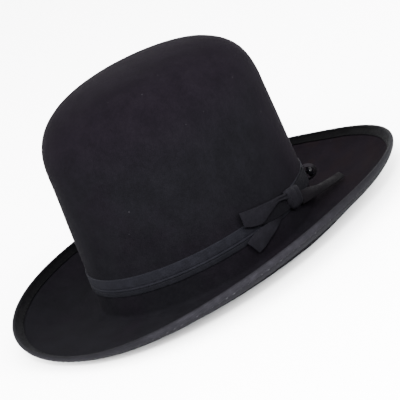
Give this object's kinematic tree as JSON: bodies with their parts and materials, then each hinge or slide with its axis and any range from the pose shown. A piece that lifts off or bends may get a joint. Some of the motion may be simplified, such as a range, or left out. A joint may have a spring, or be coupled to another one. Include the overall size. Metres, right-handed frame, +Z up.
{
  "type": "open-crown felt hat",
  "caption": "Black felt hat with a high rounded crown, a ribbon-bound brim curled up at its edge, and a ribbon band with a side bow; worn on the head, rests on its brim.",
  "frame": {"origin": "middle of the brim's outline, on the surface that the hat rests on", "axes": "+Y to the back of the hat, +X to the wearer's left, where the bow is, +Z up through the crown"},
  "size_m": [0.2968, 0.3444, 0.1654],
  "materials": {
    "felt": "matt brushed black felt",
    "binding_ribbon": "ribbed ribbon with a slight sheen, machine stitched",
    "band_ribbon": "ribbed ribbon with a slight sheen",
    "button_black": "polished black"
  },
  "bodies": {
    "root": {"felt_body": "felt", "brim_binding": "binding_ribbon", "hat_band": "band_ribbon", "band_under_ply": "band_ribbon", "bow_knot": "band_ribbon", "bow_wing_front": "band_ribbon", "bow_wing_rear": "band_ribbon", "bow_tail_front": "band_ribbon", "bow_tail_rear": "band_ribbon", "button_loop": "band_ribbon", "band_button": "button_black"}
  },
  "joints": []
}
